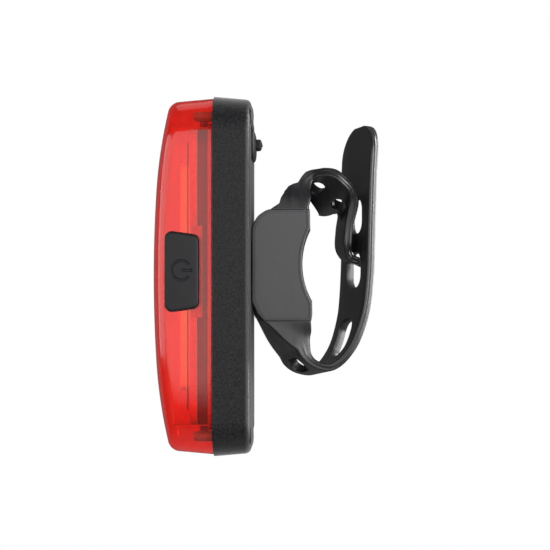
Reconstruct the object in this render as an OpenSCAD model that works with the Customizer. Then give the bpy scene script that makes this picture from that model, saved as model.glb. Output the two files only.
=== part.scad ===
// Rechargeable bicycle rear light on a rubber strap mount.
// Millimetres. +X points backwards (away from the road behind, towards the seat tube),
// +Z is up and +Y is the light's left. The origin is the deepest point of the tube seat.

/* [Light body] */
// Height of the rear housing
light_h = 73.6; // [70:0.1:84]
// Width of the rear housing
light_w = 25; // [24:0.5:30]
// Corner radius of the outline, seen from behind
corner_r = 7.5; // [6:0.5:9]
// Depth of the rear housing, from the parting plane to its rear face
housing_depth = 7.5; // [7:0.1:9]
// Wall of the rear housing
housing_wall = 1.8; // [1.6:0.1:2.2]
// Radius along the rear edge of the housing
rear_edge_r = 1.2; // [0.5:0.1:1.4]
// Depth of the lens, from the parting plane to its front
lens_depth = 12.9; // [12.4:0.1:15]
// Wall of the lens
lens_wall = 2; // [1.8:0.1:2.2]
// Step by which the housing stands proud of the lens
lens_step = 0.35; // [0.2:0.05:0.6]
// Draft of the end faces, in degrees
end_draft = 5; // [2:0.5:7]
// Radius of the lens front along its height
front_r = 225; // [190:1:320]
// Radius of the lens front across its width
crown_r = 34; // [28:1:60]
// Radius along the front edges of the lens
lens_edge_r = 1.6; // [0.8:0.1:2.2]
// Radius of the lens corners at its top and bottom
end_edge_r = 3; // [1:0.1:3.5]
// Thickness of the solid lens ends that take the screws
end_block = 6.05; // [5.4:0.05:7]
// Height of the light's centre below the tube seat
light_drop = 2.6; // [0:0.05:5]

/* [Seal and screws] */
// Length of the housing spigot that enters the lens
spigot_len = 3.2; // [3:0.1:4]
// Wall of the spigot
spigot_t = 1.2; // [1:0.1:1.6]
// Height of the gasket around the spigot
gasket_h = 1; // [0.8:0.1:1.4]
// Width of the gasket
gasket_t = 1; // [0.8:0.1:1.2]
// Radius of the housing screws
screw_r = 1; // [0.8:0.1:1.2]
// Radius of the screw heads
screw_head_r = 1.7; // [1.5:0.1:1.8]
// Height of the screw heads
screw_head_h = 1.2; // [0.8:0.1:1.6]
// Reach of the screws into the lens
screw_reach = 4; // [3:0.1:6]
// Distance of the screws from the middle of the light's width
screw_y = 8.5; // [8.4:0.1:8.8]
// Distance of the screws from the ends of the housing
screw_end = 4.5; // [4.3:0.1:5]

/* [Light engine] */
// Thickness of the circuit boards
board_t = 1; // [0.8:0.1:1.2]
// Thickness of the reflector tray
tray_t = 1.5; // [1.4:0.1:2]
// Length of the light guide
guide_len = 47; // [40:1:52]
// Distance of the light guide from each side of the housing
guide_side = 8; // [7.6:0.1:8.6]
// Depth of the light guide
guide_d = 2.4; // [1.8:0.1:2.8]
// Wall of the light guide
guide_wall = 0.9; // [0.7:0.1:1]
// Number of light-emitting diodes
led_count = 8; // [4:1:9]
// Size of a diode along and across the board
led_size = [3.5, 2.8];
// Height of a diode
led_h = 0.9; // [0.6:0.1:1.1]

/* [Power button] */
// Depth of the button along the light's depth
button_d = 6.7; // [6:0.1:6.8]
// Height of the button's front side
button_front_h = 16.3; // [15:0.1:19]
// Height of the button's rear side
button_rear_h = 14.3; // [12:0.1:16]
// Radius of the button's corners
button_r = 1.3; // [0.8:0.1:1.8]
// Reach of the button out of the lens
button_proud = 0.4; // [0.2:0.05:0.8]
// Travel of the button
button_travel = 0.5; // [0.3:0.05:0.6]
// Gap around the button
button_gap = 0.15; // [0.1:0.05:0.25]
// Height of the button's centre above the light's centre
button_z = 1; // [-4:0.1:5]
// Distance of the button's middle in front of the parting plane
button_x = 6.1; // [5.6:0.05:6.1]
// Width of the retaining flange inside the lens
button_flange = 0.8; // [0.6:0.1:1]
// Thickness of the retaining flange
flange_t = 0.5; // [0.4:0.05:0.6]
// Height, depth and length of the switch body
switch_size = [4.4, 3.5, 6];
// Radius of the switch plunger
plunger_r = 1; // [0.8:0.1:1.2]

/* [Charging port] */
// Distance of the port's centre from the housing's top
port_end = 8.4; // [8.2:0.1:10]
// Width and height of the socket
socket_size = [7.5, 2.7];
// Drop of the socket below the cover's middle
socket_drop = 1.2; // [1:0.1:1.4]
// Depth of the socket
socket_d = 5.6; // [5:0.1:6]
// Wall of the socket shell
socket_wall = 0.3; // [0.25:0.05:0.35]
// Width of the cover
cover_w = 12; // [11:0.1:12.4]
// Height of the cover
cover_h = 8.3; // [7.5:0.1:8.6]
// Depth of the cover's recess in the rear face
cover_recess = 0.8; // [0.6:0.05:0.9]
// Reach of the cover behind the rear face
cover_proud = 0.8; // [0.6:0.05:1]
// Gap around the cover
cover_gap = 0.2; // [0.15:0.05:0.3]
// Reach of the cover's plug into the wall
plug_len = 0.8; // [0.5:0.05:0.9]
// Height of the pull tab
tab_h = 2; // [1.6:0.1:2.6]
// Reach of the pull tab beyond the cover
tab_reach = 1.5; // [0.6:0.1:1.8]
// Width of the pull tab
tab_w = 6; // [4:0.5:8]
// Drop of the pull tab below the cover's middle
tab_drop = 1.1; // [0:0.1:2]
// Height of the cover's hinge foot
foot_h = 1.6; // [1.4:0.1:1.8]

/* [Battery] */
// Thickness of the cell
cell_t = 4.3; // [3.5:0.1:4.5]
// Distance of the cell from each side of the housing
cell_side = 4; // [3.8:0.1:5]
// Height of the housing that the cell leaves free
cell_free = 33.6; // [32:0.1:38]
// Thickness of the foam pad behind it
pad_t = 0.4; // [0.3:0.1:0.6]
// Depth of the cell ribs
rib_d = 2.2; // [2:0.1:2.4]
// Thickness of the cell ribs
rib_t = 1.2; // [1:0.1:1.6]

/* [Mount] */
// Radius of the tube seat
seat_r = 16; // [13:0.5:18]
// Width of the saddle block
saddle_w = 16; // [14:0.5:18]
// Depth of the saddle block, from its back to the deepest point of the seat
saddle_depth = 10.2; // [9.8:0.1:12]
// Height of the saddle above the seat's middle
saddle_up = 11.1; // [10.5:0.1:12]
// Height of the saddle below the seat's middle
saddle_down = 11.7; // [11:0.1:12.5]
// Gap between the saddle and the rear face
swivel_gap = 0.2; // [0.15:0.05:0.3]
// Height of the swivel below the tube seat
swivel_drop = 1; // [0:0.1:2]
// Radius of the stud's neck
stud_r = 3.2; // [2.8:0.1:3.4]
// Radius of the stud's flange inside the saddle
stud_flange_r = 5.5; // [5:0.1:6]
// Thickness of the stud's flange
stud_flange_t = 1.6; // [1.2:0.1:2]
// Rubber between the stud's flange and the saddle's back
stud_skin = 1.9; // [1.6:0.1:2.4]
// Running clearance between the stud and the saddle
run_gap = 0.08; // [0.05:0.01:0.1]

/* [Strap] */
// Thickness of the strap
strap_t = 1.6; // [1.4:0.1:1.9]
// Width of the strap
strap_w = 16; // [15:0.5:18]
// Width of the strap's slots
slot_w = 8; // [7:0.1:9]
// Length of the strap's slots
slot_len = 8.4; // [7:0.1:8.6]
// Corner radius of the strap's slots
slot_r = 2.5; // [1.5:0.1:2.8]
// Length and width of the slot in the strap's root
root_slot = [4.2, 9.5];
// Length of the slots in the tongue's pad
pad_slot = 2.6; // [2:0.1:3]
// Corner radius of the strap's tail
tail_r = 6.5; // [4:0.1:7.4]
// Thickness of the hook tongue
tongue_t = 1.8; // [1.6:0.1:2]
// Width of the tongue's tip
tip_w = 5; // [4:0.1:5.4]

/* [Hidden] */
$fn = 64;
// Clearance between pieces that are pushed together, and the overrun of a cut
fit = 0.05;
over = 1;
fine = 720;

// Planes along the light's depth
rear_x = -saddle_depth - swivel_gap;
wall_x = rear_x - housing_wall;
part_x = rear_x - housing_depth;
front_x = part_x - lens_depth;
spigot_x = part_x - spigot_len;
tray_x = spigot_x - tray_t;
guide_x = tray_x - guide_d;
guide_w = light_w - 2 * guide_side;
// Half sizes of the lens and of the space inside
lens_hw = light_w / 2 - lens_step;
lens_hh = light_h / 2 - lens_step;
room_hw = lens_hw - lens_wall;
room_hh = lens_hh - end_block;
room_r = corner_r - lens_wall - 1.5;
spigot_hw = room_hw - fit;
spigot_hh = room_hh - fit;
screw_z = light_h / 2 - screw_end;

// Helpers: a profile drawn in the plane square to X, Y or Z, then extruded along it
module along_x(x0, x1) translate([x0, 0, 0]) rotate([90, 0, 90]) linear_extrude(x1 - x0) children();
module along_y(y0, y1) translate([0, y1, 0]) rotate([90, 0, 0]) linear_extrude(y1 - y0) children();
module along_z(z0, z1) translate([0, 0, z0]) linear_extrude(z1 - z0) children();
module rod_x(x0, x1, r) translate([x0, 0, 0]) rotate([0, 90, 0]) cylinder(h = x1 - x0, r = r);
module box(low, high) translate(low) cube(high - low);
module in_light() translate([0, 0, -light_drop]) children();
module on_swivel() translate([0, 0, -swivel_drop]) children();

function unit(v) = v / norm(v);
function left(v) = [-v[1], v[0]];
// Centre of the corner arc at point i of a convex outline that runs anticlockwise
function arc_centre(p, r, i, n, a, b) = p[i] + r[i] * (a + b) / (1 + a * b);

// A convex outline with its own radius at each corner
module round_polygon(p, r) {
    n = len(p);
    a = [for (i = [0 : n - 1]) left(unit(p[i] - p[(i + n - 1) % n]))];
    b = [for (i = [0 : n - 1]) left(unit(p[(i + 1) % n] - p[i]))];
    c = [for (i = [0 : n - 1]) arc_centre(p, r, i, n, a[i], b[i])];
    polygon([for (i = [0 : n - 1]) each r[i] > 0 ? [c[i] - r[i] * a[i], c[i] - r[i] * b[i]] : [p[i]]]);
    for (i = [0 : n - 1]) if (r[i] > 0) translate(c[i]) circle(r[i]);
}
module round_rect(hw, hh, r) {
    round_polygon([[-hw, -hh], [hw, -hh], [hw, hh], [-hw, hh]], [r, r, r, r]);
}

// Planes and centres of the inner pieces
inner_hw = spigot_hw - spigot_t;
inner_hh = spigot_hh - spigot_t;
inner_r = room_r - spigot_t;
charge_x = wall_x - socket_d;
charge_hw = inner_hw - 1.3;
port_z = light_h / 2 - port_end;
pad_x = wall_x - rib_d;
cell_x = pad_x - pad_t;
cell_w = light_w - 2 * cell_side;
cell_h = light_h - cell_free;
cell_z = cell_h / 2 - inner_hh + 1.5;
socket_z = port_z - socket_drop;
button_cx = part_x - button_x;
button_y = -room_hw + fit;
plunger_y = button_y + flange_t;
switch_y = plunger_y + 2 * button_travel;
notch_hh = button_front_h / 2 + button_flange + 0.3;
swivel_z = light_drop - swivel_drop;

// Front of the lens: a crowned plan turned about an axis that lies across the light
front_axis_x = front_x + front_r;
module turn_front() {
    sweep = 2 * asin((light_h / 2 + over) / front_r);
    translate([front_axis_x, 0, 0]) rotate([-90, 0, 0]) rotate([0, 0, 180 - sweep / 2])
        rotate_extrude(angle = sweep, $fn = fine) children();
}
// Plan of the lens, with the distance from the turning axis along its first coordinate
module lens_plan() {
    base = front_r - lens_depth - 4;
    crown = [front_r - crown_r, 0];
    edge_y = lens_hw - lens_edge_r;
    edge = crown + [sqrt(pow(crown_r - lens_edge_r, 2) - edge_y * edge_y), edge_y];
    meet = crown + crown_r * unit(edge - crown);
    polygon([[base, -lens_hw], [edge[0], -lens_hw], [meet[0], -meet[1]], meet, [edge[0], lens_hw],
             [base, lens_hw]]);
    for (side = [-1, 1]) translate([edge[0], side * edge_y]) circle(lens_edge_r);
    intersection() {
        translate(crown) circle(crown_r, $fn = fine);
        translate([meet[0], -meet[1]]) square([lens_depth, 2 * meet[1]]);
    }
}
module room_plan() {
    intersection() {
        translate([front_r - crown_r, 0]) circle(crown_r - lens_wall, $fn = fine);
        translate([front_r - lens_depth - 4, -light_w]) square([lens_depth + 4, 2 * light_w]);
    }
}
// Side outline of the lens: drafted ends with a round corner at the front
module lens_side() {
    top_z = lens_hh - tan(end_draft) * (lens_depth - 3);
    slope = asin(top_z / front_r);
    corner_x = front_axis_x - front_r * cos(slope);
    run = (corner_x - front_x + over) / tan(slope);
    top = [[part_x, lens_hh], [corner_x, top_z], [front_x - over, top_z - run]];
    flip = [[1, 0], [0, -1]];
    round_polygon([flip * top[0], top[0], top[1], top[2], flip * top[2], flip * top[1]],
                  [0, 0, end_edge_r, 0, 0, end_edge_r]);
}
module lens_form() {
    intersection() {
        along_x(front_x - over, part_x) round_rect(lens_hw, lens_hh, corner_r);
        along_y(-light_w, light_w) lens_side();
        turn_front() lens_plan();
    }
}
module lens_room() {
    intersection() {
        along_x(front_x, part_x + over) round_rect(room_hw, room_hh, room_r);
        turn_front() room_plan();
    }
}
module button_outline(grow, rear_grow, front_cut) {
    front = button_cx - button_d / 2 - grow + front_cut;
    rear = button_cx + button_d / 2 + grow + rear_grow;
    side = grow + rear_grow;
    translate([0, button_z])
        round_polygon([[rear, -button_rear_h / 2 - side], [rear, button_rear_h / 2 + side],
                       [front, button_front_h / 2 + side], [front, -button_front_h / 2 - side]],
                      [for (i = [0 : 3]) button_r + grow]);
}
module at_screws() for (y = [-1, 1], z = [-1, 1]) translate([0, y * screw_y, z * screw_z]) children();

module lens() {
    color([0.8, 0.05, 0.04, 0.6]) in_light() difference() {
        lens_form();
        lens_room();
        along_x(part_x - gasket_h - fit, part_x + over)
            round_rect(room_hw + gasket_t + fit, room_hh + gasket_t + fit, room_r + gasket_t + fit);
        along_y(-light_w, -room_hw + over) button_outline(button_gap, 0, 0);
        at_screws() rod_x(part_x - screw_reach - 2 * fit, part_x + over, screw_r + fit);
    }
}

// Rear housing: a drafted tray with a spigot that enters the lens
module housing_section(half) {
    drop = housing_depth * tan(end_draft);
    round_polygon([[rear_x, drop - half], [rear_x, half - drop], [part_x, half], [part_x, -half]],
                  [rear_edge_r, rear_edge_r, 0, 0]);
}
module housing_corner() {
    rotate([0, 90, 0]) rotate_extrude() intersection() {
        multmatrix([[0, 1, 0, 0], [1, 0, 0, 0], [0, 0, 1, 0], [0, 0, 0, 1]]) housing_section(corner_r);
        translate([0, -light_h]) square([light_h, 2 * light_h]);
    }
}
module housing_form() {
    hw = light_w / 2 - corner_r;
    hh = light_h / 2 - corner_r;
    along_y(-hw, hw) housing_section(light_h / 2);
    along_z(-hh, hh) housing_section(light_w / 2);
    for (y = [-hw, hw], z = [-hh, hh]) translate([0, y, z]) housing_corner();
}
module cell_ribs() {
    for (z = [cell_z - 0.325 * cell_h, cell_z + 0.425 * cell_h])
        box([pad_x, -cell_w / 2 + 1, z - rib_t / 2], [wall_x + 0.5, cell_w / 2 - 1, z + rib_t / 2]);
}
module board_posts() for (y = [-1, 1] * (charge_hw - 1.4))
    translate([0, y, port_z - 10]) rod_x(charge_x, wall_x + 0.5, 1.4);
module cover_outline(gap) translate([0, port_z]) round_rect(cover_w / 2 - gap, cover_h / 2 - gap, 2 - gap);
module socket_outline(grow) {
    translate([0, socket_z]) round_rect(socket_size[0] / 2 + grow, socket_size[1] / 2 + grow, 0.8 + grow);
}
module rear_housing() {
    color([0.17, 0.17, 0.18]) in_light() {
        difference() {
            union() {
                housing_form();
                along_x(spigot_x, part_x + over) round_rect(spigot_hw, spigot_hh, room_r - fit);
            }
            along_x(spigot_x - over, wall_x) round_rect(inner_hw, inner_hh, inner_r);
            box([spigot_x - over, -light_w, button_z - notch_hh],
                [button_cx + button_d / 2 + button_flange + 0.3, -inner_hw + over, button_z + notch_hh]);
            at_screws() rod_x(part_x - over, rear_x + over, screw_r + fit);
            at_screws() rod_x(rear_x - screw_head_h - 0.6, rear_x + over, screw_head_r + 0.1);
            along_x(rear_x - cover_recess - fit, rear_x + over) cover_outline(0);
            along_x(wall_x - over, rear_x) socket_outline(0.3);
            translate([0, 0, swivel_z]) {
                rod_x(wall_x - over, rear_x + over, stud_r + fit);
                rod_x(rear_x - 2 * ring_r - fit, rear_x + over, ring_mid_r + ring_r + fit);
            }
        }
        cell_ribs();
        board_posts();
    }
}
module lens_gasket() {
    color([0.85, 0.84, 0.82]) in_light() along_x(part_x - gasket_h, part_x) difference() {
        round_rect(room_hw + gasket_t, room_hh + gasket_t, room_r + gasket_t);
        round_rect(room_hw, room_hh, room_r);
    }
}
module housing_screws() {
    color("silver") in_light() at_screws() {
        rod_x(part_x - screw_reach, rear_x - screw_head_h - 0.6, screw_r);
        rod_x(rear_x - screw_head_h - 0.6, rear_x - 0.6, screw_head_r);
    }
}

// Light engine: board, diodes, reflector tray, light guide and switch
module reflector_tray() {
    channel = [guide_w / 2 - guide_wall, guide_len / 2 - guide_wall];
    color([0.95, 0.95, 0.93]) in_light() along_x(tray_x, spigot_x) difference() {
        round_rect(spigot_hw, spigot_hh, room_r - fit);
        round_rect(channel[0], channel[1], 1);
        translate([-light_w, button_z - switch_size[2] / 2 - 0.3])
            square([light_w + switch_y + switch_size[1] + 0.3, switch_size[2] + 0.6]);
        translate([-light_w, button_z - notch_hh])
            square([light_w + plunger_y + button_travel + 0.2, 2 * notch_hh]);
    }
}
module led_board() {
    color([0.1, 0.35, 0.15]) in_light()
        along_x(spigot_x, spigot_x + board_t) round_rect(inner_hw - fit, inner_hh - fit, inner_r);
}
module leds() {
    pitch = (guide_len - 4 * guide_wall) / led_count;
    color([0.95, 0.8, 0.3]) in_light() for (i = [0 : led_count - 1])
        translate([spigot_x - led_h, -led_size[1] / 2, (i - (led_count - 1) / 2) * pitch - led_size[0] / 2])
            cube([led_h, led_size[1], led_size[0]]);
}
module light_guide() {
    color([1, 0.6, 0.2, 0.7]) in_light() difference() {
        along_x(guide_x, tray_x) round_rect(guide_w / 2, guide_len / 2, 1.5);
        along_x(guide_x + guide_wall, tray_x + over)
            round_rect(guide_w / 2 - guide_wall, guide_len / 2 - guide_wall, 1);
    }
}
module switch_body() {
    color([0.2, 0.2, 0.2]) in_light() difference() {
        box([spigot_x - switch_size[0], switch_y, button_z - switch_size[2] / 2],
            [spigot_x, switch_y + switch_size[1], button_z + switch_size[2] / 2]);
        translate([button_cx, switch_y, button_z]) rotate([-90, 0, 0])
            cylinder(h = 4 * button_travel, r = plunger_r + fit, center = true);
    }
}
module switch_plunger() {
    color([0.85, 0.8, 0.7]) in_light() translate([button_cx, plunger_y, button_z]) rotate([-90, 0, 0])
        cylinder(h = 2.6 * button_travel, r = plunger_r);
}
module power_button() {
    color([0.24, 0.24, 0.26]) in_light() {
        along_y(-lens_hw - button_proud, button_y) button_outline(0, 0, 0);
        along_y(button_y, plunger_y) button_outline(0, button_flange, 0.7);
    }
}

// Charging board, socket and cell
module charge_board() {
    color([0.1, 0.35, 0.15]) in_light()
        box([charge_x - board_t, -charge_hw, port_z - 12.5], [charge_x, charge_hw, inner_hh - 0.6]);
}
module board_pins() {
    color([0.8, 0.65, 0.3]) in_light() for (y = [-3 : 2 : 3])
        translate([0, y, port_z - 10]) rod_x(spigot_x + board_t, charge_x - board_t, 0.5);
}
module usb_shell() {
    color("silver") in_light() along_x(charge_x, wall_x) difference() {
        socket_outline(0);
        socket_outline(-socket_wall);
    }
}
module usb_tongue() {
    color([0.1, 0.1, 0.1]) in_light()
        box([charge_x, -2, socket_z - 0.35], [wall_x - 0.8, 2, socket_z + 0.35]);
}
module battery() {
    color([0.75, 0.75, 0.78]) in_light()
        along_x(cell_x - cell_t, cell_x) translate([0, cell_z]) round_rect(cell_w / 2, cell_h / 2, 1);
}
module battery_pad() {
    color([0.15, 0.15, 0.15]) in_light()
        along_x(cell_x, pad_x) translate([0, cell_z]) round_rect(cell_w / 2 - 2, cell_h / 2 - 1, 1);
}

// Port cover: a crowned rubber flap that swings on a thin hinge at its top
knuckle_r = cover_recess - fit;
hinge_z = port_z + cover_h / 2 - foot_h - knuckle_r - 2 * cover_gap;
module cover_side() {
    low = port_z - cover_h / 2 + cover_gap;
    crown = cover_h;
    intersection() {
        translate([rear_x + cover_proud - crown, port_z - foot_h / 2]) circle(crown, $fn = fine);
        translate([rear_x - knuckle_r, low]) square([2 * cover_h, hinge_z - low]);
    }
    translate([rear_x, hinge_z]) circle(knuckle_r);
}
module port_cover() {
    tab_z = port_z - tab_drop;
    color([0.12, 0.12, 0.13]) in_light() {
        intersection() {
            along_y(-cover_w, cover_w) cover_side();
            along_x(rear_x - cover_h, rear_x + cover_h) cover_outline(cover_gap);
        }
        along_x(rear_x - knuckle_r - plug_len, rear_x) socket_outline(-0.1);
        along_y(-tab_w / 2, tab_w / 2) translate([rear_x, tab_z])
            round_polygon([[0, -tab_h / 2], [cover_proud + tab_reach, -tab_h / 2],
                           [cover_proud + tab_reach, tab_h / 2], [0, tab_h / 2]], [0, 0.6, 0.6, 0]);
    }
}
module cover_foot() {
    foot_z = port_z + cover_h / 2 - foot_h;
    color([0.12, 0.12, 0.13]) in_light() intersection() {
        along_x(rear_x - cover_recess, rear_x) cover_outline(fit);
        box([rear_x - over, -cover_w, foot_z], [rear_x + over, cover_w, foot_z + cover_h]);
    }
}

// Swivel stud that the saddle turns on
ring_r = 0.4;
ring_mid_r = stud_r + fit + ring_r;
shoulder_t = 0.7;
stud_shoulder_r = ring_mid_r + ring_r + 0.3;
flange_x = -saddle_depth + stud_skin;
mount_screw_r = 1.2;
washer_t = 0.5;
module mount_stud() {
    color([0.1, 0.1, 0.1]) on_swivel() difference() {
        union() {
            rod_x(wall_x + 0.2, flange_x, stud_r);
            rod_x(rear_x, rear_x + shoulder_t, stud_shoulder_r);
            rod_x(flange_x, flange_x + stud_flange_t, stud_flange_r);
        }
        rod_x(wall_x - over, flange_x + 0.8, mount_screw_r + fit);
    }
}
module stud_o_ring() {
    color([0.05, 0.05, 0.05]) on_swivel() translate([rear_x - ring_r - fit / 2, 0, 0]) rotate([0, 90, 0])
        rotate_extrude() translate([ring_mid_r, 0]) circle(ring_r, $fn = 32);
}
module mount_washer() {
    color("silver") on_swivel() difference() {
        rod_x(wall_x - washer_t, wall_x, stud_r + 1);
        rod_x(wall_x - over, wall_x + over, mount_screw_r + 0.1);
    }
}
module mount_screw() {
    color("silver") on_swivel() {
        rod_x(wall_x - washer_t, flange_x + 0.5, mount_screw_r);
        rod_x(wall_x - washer_t - 1.2, wall_x - washer_t, 2 * mount_screw_r);
    }
}

// Saddle block with the round tube seat
nose_x = 2.1;
// Strap root where it leaves the saddle: its middle, its thickness and how far its width leans
root_x = -4.04;
root_t = 9.5;
root_lean = 0.136;
module saddle_block() {
    color([0.3, 0.3, 0.31]) difference() {
        along_y(-saddle_w / 2, saddle_w / 2) difference() {
            round_polygon([[-saddle_depth, -saddle_down], [nose_x - 0.2, -saddle_down],
                           [nose_x, -saddle_down + 1.4], [nose_x - 0.5, saddle_up],
                           [-saddle_depth + 4.7, saddle_up], [-saddle_depth, saddle_up - 2.6]],
                          [0, 0, 0.8, 0, 0, 2.2]);
            translate([seat_r, 0]) circle(seat_r, $fn = fine);
        }
        translate([root_x - root_t / 2, 0, -saddle_down]) rotate([0, 0, asin(root_lean)])
            along_y(-2 * saddle_w, 2 * saddle_w) polygon([[-9, 10], [-12, -over], [0.9 * over, -over]]);
        on_swivel() {
            rod_x(-saddle_depth - over, rear_x + shoulder_t + run_gap, stud_shoulder_r + run_gap);
            rod_x(-saddle_depth, flange_x + fit, stud_r + run_gap);
            rod_x(flange_x - run_gap, flange_x + stud_flange_t + run_gap, stud_flange_r + run_gap);
        }
    }
}

// Rubber bands: each row holds the centre (x, z), the thickness, the width and the lean of the width
STRAP_ROWS = [
    [root_x, -saddle_down, root_t, strap_w, -root_lean, 0], [-3.3, -14.7, 6, strap_w, -0.2, -0.08],
    [-2.1, -17.8, 2.9, strap_w, -0.24, -0.14], [-1.2, -19.9, 2, strap_w, -0.25, -0.15],
    [0.6, -21.3, 1.7, strap_w, -0.24, -0.14], [3.3, -22, strap_t, strap_w, -0.23, -0.12],
    [5.3, -21.2, strap_t, strap_w, -0.25, -0.11], [7.3, -19, strap_t, strap_w, -0.27, -0.1],
    [9, -15.9, strap_t, strap_w, -0.29, -0.1], [10.4, -11.3, strap_t, strap_w, -0.31, -0.09],
    [11, -7.4, strap_t, strap_w, -0.32, -0.08], [11.4, -1.7, strap_t, strap_w, -0.33, -0.08],
    [11.55, 4.2, strap_t, strap_w, -0.33, -0.07], [11.7, 12.4, strap_t, strap_w, -0.34, -0.06],
    [11.9, 21.3, strap_t, strap_w, -0.36, -0.05], [12.6, 28.3, strap_t, strap_w, -0.37, -0.05]
];
TONGUE_ROWS = [
    [-2.15, saddle_up, 6.9, saddle_w, 0, 0], [-2.2, 13, 5.8, 15, -0.08, -0.08],
    [-1.35, 14.4, 4, 14, -0.15, -0.17], [0.3, 16.4, 2, 13, -0.23, -0.28],
    [2.1, 16.3, tongue_t, 15, -0.28, -0.37], [4.2, 15.3, tongue_t, 16, -0.3, -0.42],
    [6.45, 13.8, tongue_t, 15, -0.3, -0.4], [8.4, 13, tongue_t, 12, -0.29, -0.32],
    [9.3, 11.4, tongue_t, 9.6, -0.26, -0.22], [8.8, 7.4, tongue_t, 8.2, -0.25, -0.1],
    [8.6, 3.6, tongue_t, 7.7, -0.24, -0.09], [9.5, 1.3, tongue_t - 0.1, tip_w + 0.4, -0.2, -0.05],
    [11.4, 0.6, tongue_t - 0.3, tip_w, -0.15, 0], [12.8, -0.2, tongue_t - 0.4, tip_w, -0.15, 0]
];
// Row at which the strap bends when it is opened
bend_row = 5;
// Rows at which the strap is slotted, and how much each slot is shorter than the longest
SLOT_ROWS = [[8.05, 0], [11.06, 1.1], [12.7, 1.2]];
// Slots in the tongue's pad: row, length, width and distance from the band's middle
PAD_SLOTS = [[4.5, pad_slot, 5, -2], [6.8, pad_slot + 1, 4.6, 0.6]];
band_edge = 0.4;
steps = 4;

function row_at(rows, i) = rows[max(0, min(len(rows) - 1, i))];
// A smooth curve through the rows, at row number s
function along(rows, s) = let (i = min(floor(s), len(rows) - 2), t = s - i, a = row_at(rows, i - 1),
    b = row_at(rows, i), c = row_at(rows, i + 1), d = row_at(rows, i + 2))
    (2 * b + (c - a) * t + (2 * a - 5 * b + 4 * c - d) * t * t + (3 * b - a - 3 * c + d) * t * t * t) / 2;
function centre(rows, s) = let (r = along(rows, s)) [r[0], 0, r[1]];
function width_dir(rows, s) = let (r = along(rows, s)) [r[4], sqrt(1 - r[4] * r[4] - r[5] * r[5]), r[5]];
// Direction of the band, which leaves its first row upright
function heading(rows, s) = let (rise = [0, 0, sign(rows[1][1] - rows[0][1])], k = min(s, 1),
    path = centre(rows, min(s + 0.02, len(rows) - 1)) - centre(rows, max(s - 0.02, 0)))
    unit((1 - k) * rise + k * unit(path));
// Direction of the band's thickness, which is level at its first row
function face_dir(rows, s) = let (level = [-sign(rows[1][1] - rows[0][1]), 0, 0], k = min(s, 1))
    unit((1 - k) * level + k * unit(cross(heading(rows, s), width_dir(rows, s))));
// Half width, with a round end of radius end_r where the band stops
function half_width(rows, s, end_r) = let (w = along(rows, s)[3] / 2, last = len(rows) - 1,
    left_over = end_r > 0 && s > last - 1.5 ? norm(centre(rows, last) - centre(rows, s)) + 0.1 : end_r)
    left_over >= end_r ? w : w - end_r + sqrt(end_r * end_r - pow(end_r - left_over, 2));
function band_ring(rows, s, end_r) = let (r = along(rows, s), c = centre(rows, s), w = width_dir(rows, s),
    n = face_dir(rows, s), u = half_width(rows, s, end_r), v = r[2] / 2, e = min(band_edge, u / 2))
    [for (p = [[u - e, -v], [u, e - v], [u, v - e], [u - e, v],
               [e - u, v], [-u, v - e], [-u, e - v], [e - u, -v]])
        c + p[0] * w + p[1] * n];
function stations(from, to, end_r) = [for (k = [0 : steps * (to - from)]) let (s = from + k / steps)
    end_r > 0 && s > to - 1 ? to - 1 + sin(90 * (s - to + 1)) : s];

module band(rows, from, to, end_r = 0) {
    rings = [for (s = stations(from, to, end_r)) band_ring(rows, s, end_r)];
    m = len(rings);
    n = len(rings[0]);
    polyhedron(points = [for (ring = rings) each ring],
               faces = [[for (k = [0 : n - 1]) k],
                        for (i = [0 : m - 2], k = [0 : n - 1])
                            each [[i * n + k, (i + 1) * n + k, i * n + (k + 1) % n],
                                  [i * n + (k + 1) % n, (i + 1) * n + k, (i + 1) * n + (k + 1) % n]],
                        [for (k = [n - 1 : -1 : 0]) (m - 1) * n + k]]);
}
// A slot with round ends, cut square to the band at row number s
module slot_cut(rows, s, length, width, aside = 0) {
    w = width_dir(rows, s);
    c = centre(rows, s) + aside * w;
    n = face_dir(rows, s);
    t = cross(w, n);
    multmatrix([[t[0], w[0], n[0], c[0]], [t[1], w[1], n[1], c[1]], [t[2], w[2], n[2], c[2]], [0, 0, 0, 1]])
        translate([0, 0, -3 * strap_t]) linear_extrude(6 * strap_t)
            round_rect(length / 2, width / 2, min(slot_r, min(length, width) / 2 - fit));
}
module hook_tongue() {
    color([0.14, 0.14, 0.15]) difference() {
        band(TONGUE_ROWS, 0, len(TONGUE_ROWS) - 1);
        for (slot = PAD_SLOTS) slot_cut(TONGUE_ROWS, slot[0], slot[1], slot[2], slot[3]);
    }
}
module strap_root() {
    color([0.14, 0.14, 0.15]) difference() {
        band(STRAP_ROWS, 0, bend_row);
        slot_cut(STRAP_ROWS, 3.5, root_slot[0], root_slot[1]);
    }
}
module strap() {
    color([0.14, 0.14, 0.15]) difference() {
        band(STRAP_ROWS, bend_row, len(STRAP_ROWS) - 1, tail_r);
        for (slot = SLOT_ROWS) slot_cut(STRAP_ROWS, slot[0], slot_len - slot[1], slot_w);
    }
}

rear_housing();
lens();
lens_gasket();
housing_screws();
reflector_tray();
led_board();
leds();
light_guide();
switch_body();
switch_plunger();
power_button();
charge_board();
board_pins();
usb_shell();
usb_tongue();
battery();
battery_pad();
port_cover();
cover_foot();
mount_stud();
stud_o_ring();
mount_washer();
mount_screw();
saddle_block();
hook_tongue();
strap_root();
strap();
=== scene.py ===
"""Bike rear light: a red-lensed light with a side button on a slotted rubber strap mount.

All sizes are in millimetres until a mesh is made. +X runs from the light towards the post,
+Z is up along the light, and the near side of the photograph is -Y.
"""
import logging
import math
from dataclasses import dataclass, field
from enum import Enum
from typing import Callable, Sequence

import bmesh
import bpy
import numpy as np
from mathutils import Matrix, Vector


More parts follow.
